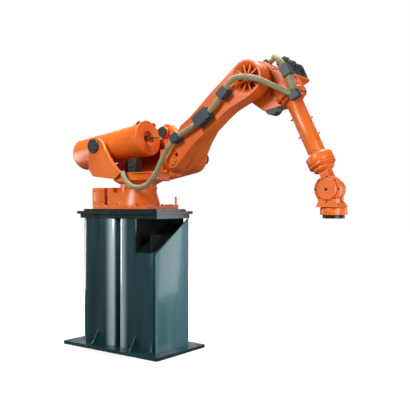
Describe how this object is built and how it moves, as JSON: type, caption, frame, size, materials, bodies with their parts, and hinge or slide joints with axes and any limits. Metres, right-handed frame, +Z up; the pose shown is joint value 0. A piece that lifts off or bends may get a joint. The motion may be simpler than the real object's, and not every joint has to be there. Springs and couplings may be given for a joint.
{
  "type": "industrial robot arm on a steel pedestal",
  "caption": "Large six-axis industrial robot arm with a balancer cylinder and hose dress pack, bolted on a tall welded steel pedestal.",
  "frame": {"origin": "on the floor, on the line of axis 1", "axes": "+Z up along axis 1, +X the way the arm reaches at rest, +Y to the side of the axis 2 motor"},
  "size_m": [3.7042, 0.87, 3.2582],
  "materials": {
    "orange_paint": "satin orange enamel on cast iron and aluminium",
    "teal_paint": "glossy dark teal enamel on welded steel",
    "plate_paint": "dark teal enamel on machined plate",
    "motor_black": "satin black paint",
    "black_plastic": "moulded, matt",
    "clamp_slate": "moulded, slate",
    "hose_beige": "ribbed protective hose, beige",
    "rod_steel": "ground piston rod",
    "flange_steel": "black oxide on steel"
  },
  "bodies": {
    "pedestal_and_base": {"adaptor_plate": "plate_paint", "base_casting": "orange_paint", "column_collar": "plate_paint", "column_tube_left": "teal_paint", "column_tube_right": "teal_paint", "connector_box": "orange_paint", "foot_gussets": "teal_paint", "foot_plate": "teal_paint", "locating_pin": "orange_paint", "notch_liner": "plate_paint", "side_plate": "teal_paint", "slew_ring": "orange_paint", "top_plate": "plate_paint"},
    "turret": {"turret_casting": "orange_paint", "cheek_near": "orange_paint", "cheek_far": "orange_paint", "trunnion_caps": "black_plastic", "axis1_motor": "motor_black", "axis2_motor": "motor_black", "hose_gland": "black_plastic", "hose_turret_loop": "hose_beige"},
    "balancer": {"balancer_barrel": "orange_paint", "balancer_flange": "orange_paint", "flange_clips": "black_plastic"},
    "balancer_piston": {"balancer_rod": "rod_steel", "rod_fork": "orange_paint", "rod_caps": "black_plastic"},
    "lower_arm": {"lower_arm": "orange_paint", "axis2_cover": "orange_paint", "hose_arm": "hose_beige", "arm_hose_clamps": "clamp_slate", "hose_elbow_loop": "hose_beige"},
    "upper_arm": {"axis3_gear_ring": "orange_paint", "elbow_housing": "orange_paint", "axis3_motor": "motor_black", "rear_motors": "motor_black", "rear_motor_plate": "orange_paint", "forearm_tube": "orange_paint", "wrist_collar": "orange_paint", "hose_upper": "hose_beige", "upper_hose_clamps": "clamp_slate", "hose_socket": "black_plastic"},
    "wrist_roll": {"roll_ring": "orange_paint", "wrist_hub": "orange_paint"},
    "wrist_bend": {"wrist_housing": "orange_paint", "wrist_ring": "orange_paint"},
    "tool_turn": {"tool_flange": "flange_steel"}
  },
  "joints": [
    {"name": "axis1_slew", "type": "hinge", "parent": "pedestal_and_base", "child": "turret", "pos_m": [0, 0, 1.65], "axis": [0, 0, 1], "range_deg": [-180, 180]},
    {"name": "axis2_lower_arm", "type": "hinge", "parent": "turret", "child": "lower_arm", "pos_m": [0.682, 0, 2.239], "axis": [0, 1, 0], "range_deg": [-55, 60], "deforming": ["hose_turret_loop"]},
    {"name": "balancer_tilt", "type": "hinge", "parent": "turret", "child": "balancer", "pos_m": [-0.45, 0, 2.408], "axis": [0, -1, 0], "range_deg": [-6, 6.5]},
    {"name": "balancer_stroke", "type": "slide", "parent": "balancer", "child": "balancer_piston", "axis": [0.9908, 0, 0.1353], "range_m": [-0.145, 0.16]},
    {"name": "axis3_upper_arm", "type": "hinge", "parent": "lower_arm", "child": "upper_arm", "pos_m": [1.71558, 0, 2.97353], "axis": [0, -1, 0], "range_deg": [-46, 100], "deforming": ["hose_elbow_loop"]},
    {"name": "axis4_wrist_roll", "type": "hinge", "parent": "upper_arm", "child": "wrist_roll", "pos_m": [2.5342, 0, 1.84536], "axis": [0.4352, 0, -0.9003], "range_deg": [-350, 350]},
    {"name": "axis5_wrist_bend", "type": "hinge", "parent": "wrist_roll", "child": "wrist_bend", "pos_m": [2.5342, 0, 1.84536], "axis": [0, 1, 0], "range_deg": [-145.8, 94.2]},
    {"name": "axis6_tool_turn", "type": "hinge", "parent": "wrist_bend", "child": "tool_turn", "pos_m": [2.5342, 0, 1.84536], "axis": [0, 0, -1], "range_deg": [-350, 350]}
  ],
  "couplings": [
    {"joint": "balancer_tilt", "follows": "axis2_lower_arm", "ratio": 0.1},
    {"joint": "balancer_stroke", "follows": "axis2_lower_arm", "m_per_rad": 0.1461}
  ]
}
